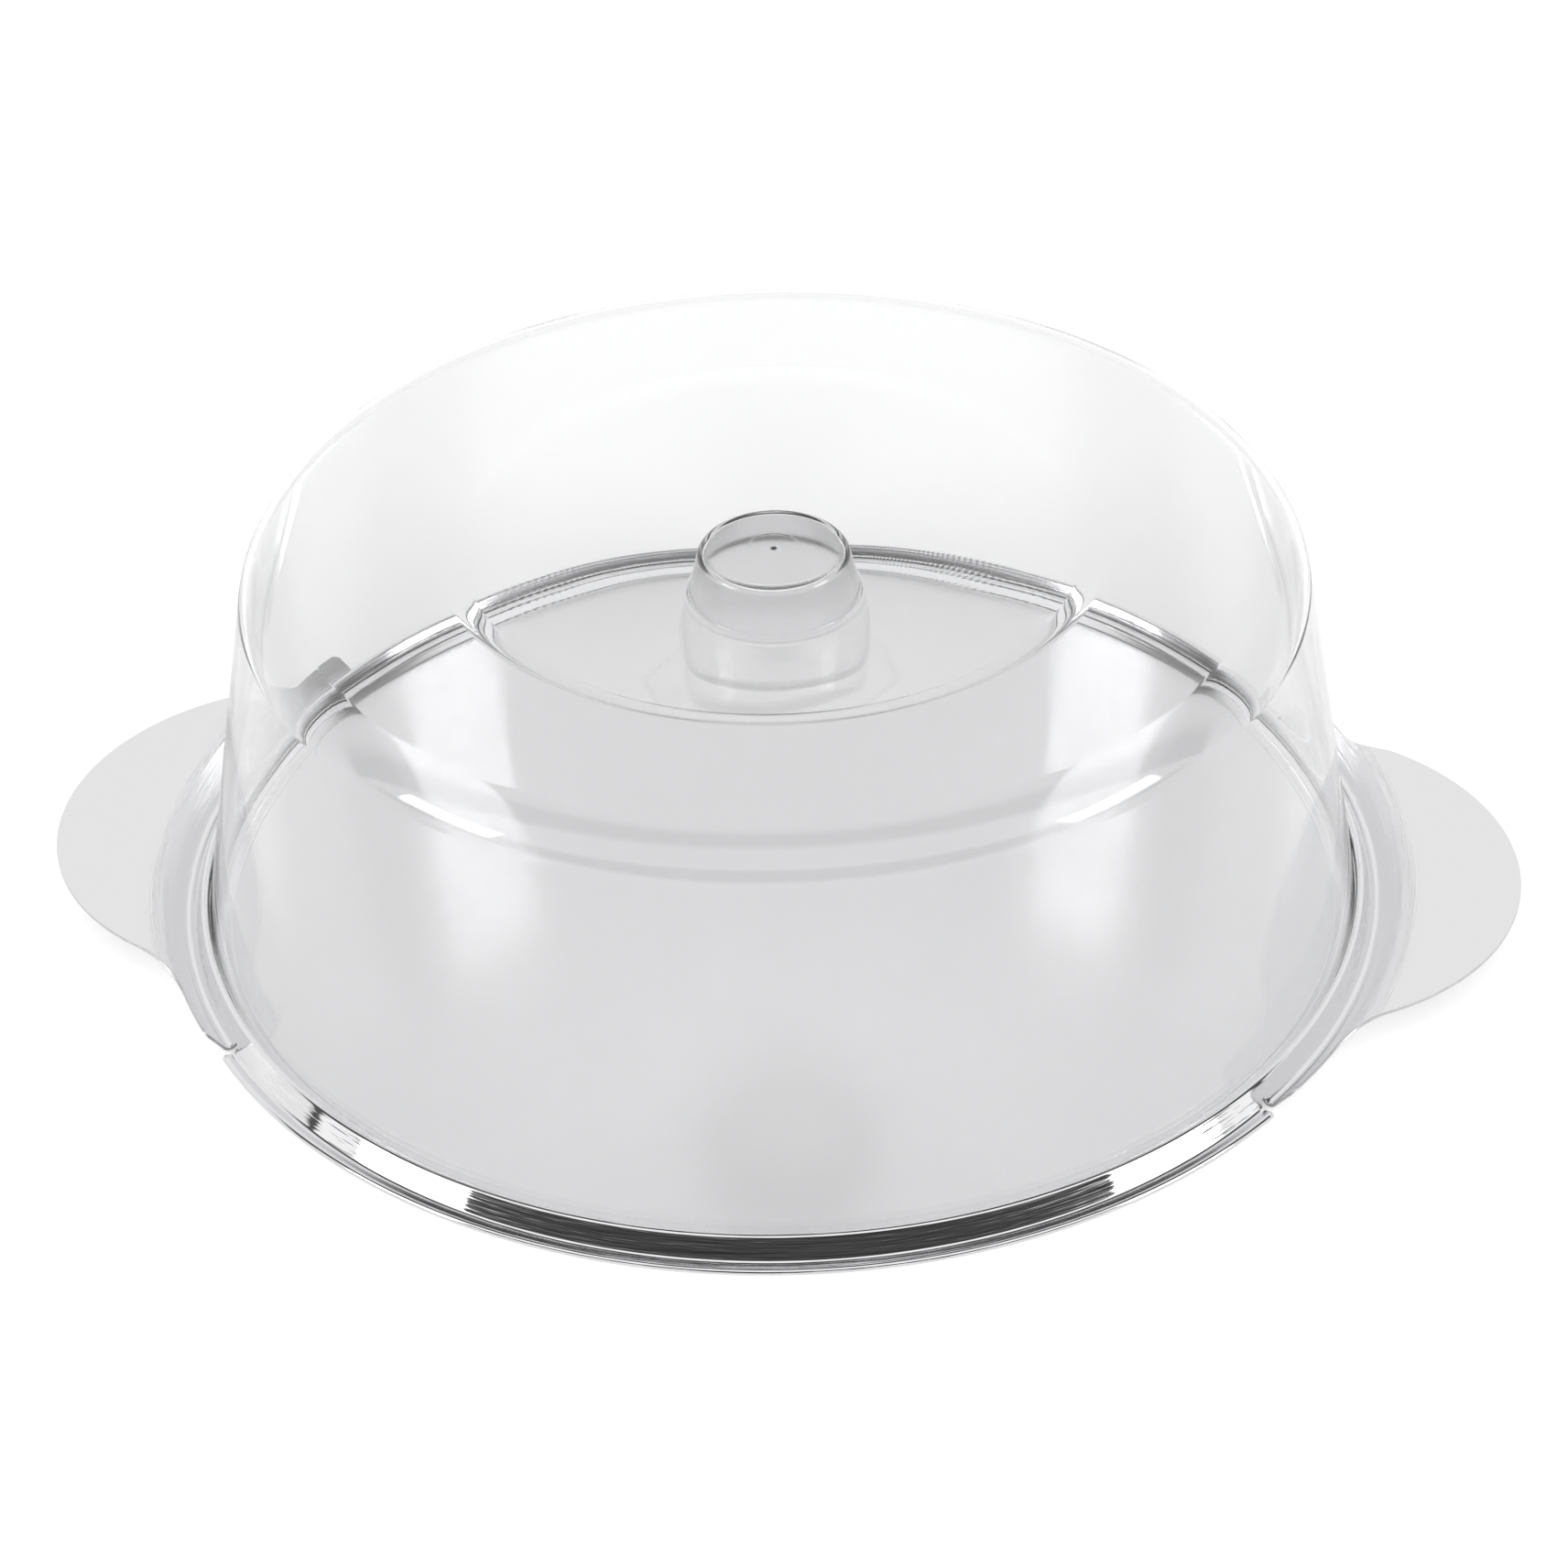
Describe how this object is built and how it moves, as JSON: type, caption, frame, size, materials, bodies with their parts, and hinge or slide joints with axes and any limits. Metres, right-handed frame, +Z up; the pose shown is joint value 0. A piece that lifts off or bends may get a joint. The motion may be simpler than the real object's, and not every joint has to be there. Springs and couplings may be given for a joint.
{
  "type": "cake stand with dome",
  "caption": "Round pressed steel cake tray with two handle tabs, under a clear lift-off dome with a hollow knob in its dished top.",
  "frame": {"origin": "on the tray's axis, in the plane that the tray stands on", "axes": "+Z up along the axis of tray and dome, +X and -X out through the two handle tabs"},
  "size_m": [0.3834, 0.316, 0.1078],
  "materials": {
    "polished_steel": "polished",
    "clear_plastic": "polished"
  },
  "bodies": {
    "tray": {"tray": "polished_steel"},
    "dome": {"dome_cover": "clear_plastic"}
  },
  "joints": [
    {"name": "dome_lift", "type": "slide", "parent": "tray", "child": "dome", "axis": [0, 0, 1], "range_m": [0, 0.16]}
  ]
}
